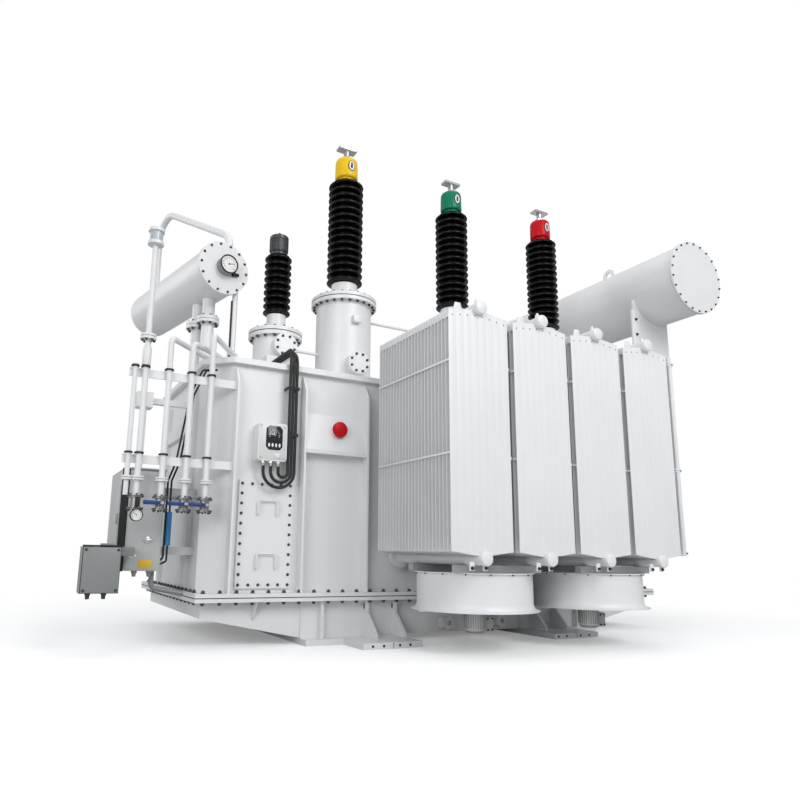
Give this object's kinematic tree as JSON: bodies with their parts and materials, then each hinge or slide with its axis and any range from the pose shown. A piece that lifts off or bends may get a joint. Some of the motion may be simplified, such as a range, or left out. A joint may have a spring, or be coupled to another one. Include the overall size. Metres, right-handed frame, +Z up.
{
  "type": "power transformer",
  "caption": "Oil-filled power transformer: white ribbed tank, finned radiators with fans below, ribbed black bushings, conservators and a tap-changer drive cabinet.",
  "frame": {"origin": "on the ground at the centre of the foot bolt pattern, under the middle of the tank", "axes": "+X along the tank towards the main conservator, +Y away from the radiators, +Z up"},
  "size_m": [6.2928, 3.512, 4.661],
  "materials": {
    "white_paint": "satin",
    "tank_paint": "satin",
    "radiator_paint": "satin",
    "black_glaze": "gloss",
    "brown_glaze": "gloss",
    "blue_grip": "gloss",
    "black_rubber": "matt",
    "red_paint": "gloss",
    "yellow_paint": "gloss",
    "green_paint": "gloss",
    "cabinet_grey": "satin",
    "bare_aluminium": "satin",
    "gauge_black": "matt",
    "grey_paint": "satin",
    "fan_grey": "satin",
    "valve_steel": "satin",
    "core_steel": "matt"
  },
  "bodies": {
    "transformer": {"active_part": "core_steel", "bell_flange": "tank_paint", "conservator_ends": "white_paint", "conservator_shell": "white_paint", "conservator_support": "white_paint", "drive_cabinet": "cabinet_grey", "drive_shaft": "white_paint", "fan_cowl_1": "white_paint", "fan_cowl_2": "white_paint", "fan_motor_1": "fan_grey", "fan_motor_2": "fan_grey", "fan_mounts": "white_paint", "feet": "tank_paint", "front_wall": "white_paint", "hatch_cover": "white_paint", "hv_cap_1": "yellow_paint", "hv_cap_2": "green_paint", "hv_cap_3": "red_paint", "hv_insulator_1": "black_glaze", "hv_insulator_2": "black_glaze", "hv_insulator_3": "black_glaze", "hv_terminals": "bare_aluminium", "hv_turret_1": "white_paint", "hv_turret_2": "white_paint", "hv_turret_3": "white_paint", "indicator_cables": "black_rubber", "instrument_pocket": "white_paint", "junction_box": "cabinet_grey", "left_end_wall": "white_paint", "lower_tank": "tank_paint", "lv_bushings": "brown_glaze", "neutral_cap": "grey_paint", "neutral_insulator": "black_glaze", "neutral_turret": "white_paint", "oil_level_gauge": "gauge_black", "oltc_conservator_front_end": "white_paint", "oltc_conservator_rear_end": "white_paint", "oltc_conservator_shell": "white_paint", "oltc_conservator_support": "white_paint", "pressure_gauge": "gauge_black", "rack_bars": "white_paint", "rack_pipes": "white_paint", "rack_valves": "valve_steel", "radiator_1": "radiator_paint", "radiator_2": "radiator_paint", "radiator_3": "radiator_paint", "radiator_4": "radiator_paint", "radiator_fittings": "radiator_paint", "radiator_pipes": "radiator_paint", "rear_wall": "white_paint", "red_cap": "red_paint", "right_end_wall": "white_paint", "tank_cover": "white_paint", "tap_changer_head": "white_paint", "temperature_indicator": "white_paint", "vent_pipe": "white_paint"},
    "cabinet_door": {"cabinet_door": "cabinet_grey"},
    "valve_lever_1": {"valve_lever_1": "blue_grip"},
    "valve_lever_2": {"valve_lever_2": "blue_grip"},
    "valve_lever_3": {"valve_lever_3": "blue_grip"}
  },
  "joints": [
    {"name": "cabinet_door_hinge", "type": "hinge", "parent": "transformer", "child": "cabinet_door", "pos_m": [-2.745, -0.066, 0.9], "axis": [0, 0, -1], "range_deg": [0, 120]},
    {"name": "valve_lever_1_turn", "type": "hinge", "parent": "transformer", "child": "valve_lever_1", "pos_m": [-2.57, -1.0303, 0.99], "axis": [0, -1, 0], "range_deg": [0, 90]},
    {"name": "valve_lever_2_turn", "type": "hinge", "parent": "transformer", "child": "valve_lever_2", "pos_m": [-2.408, -1.0303, 0.99], "axis": [0, -1, 0], "range_deg": [0, 90]},
    {"name": "valve_lever_3_turn", "type": "hinge", "parent": "transformer", "child": "valve_lever_3", "pos_m": [-2.26, -1.0303, 0.99], "axis": [0, -1, 0], "range_deg": [0, 90]}
  ]
}
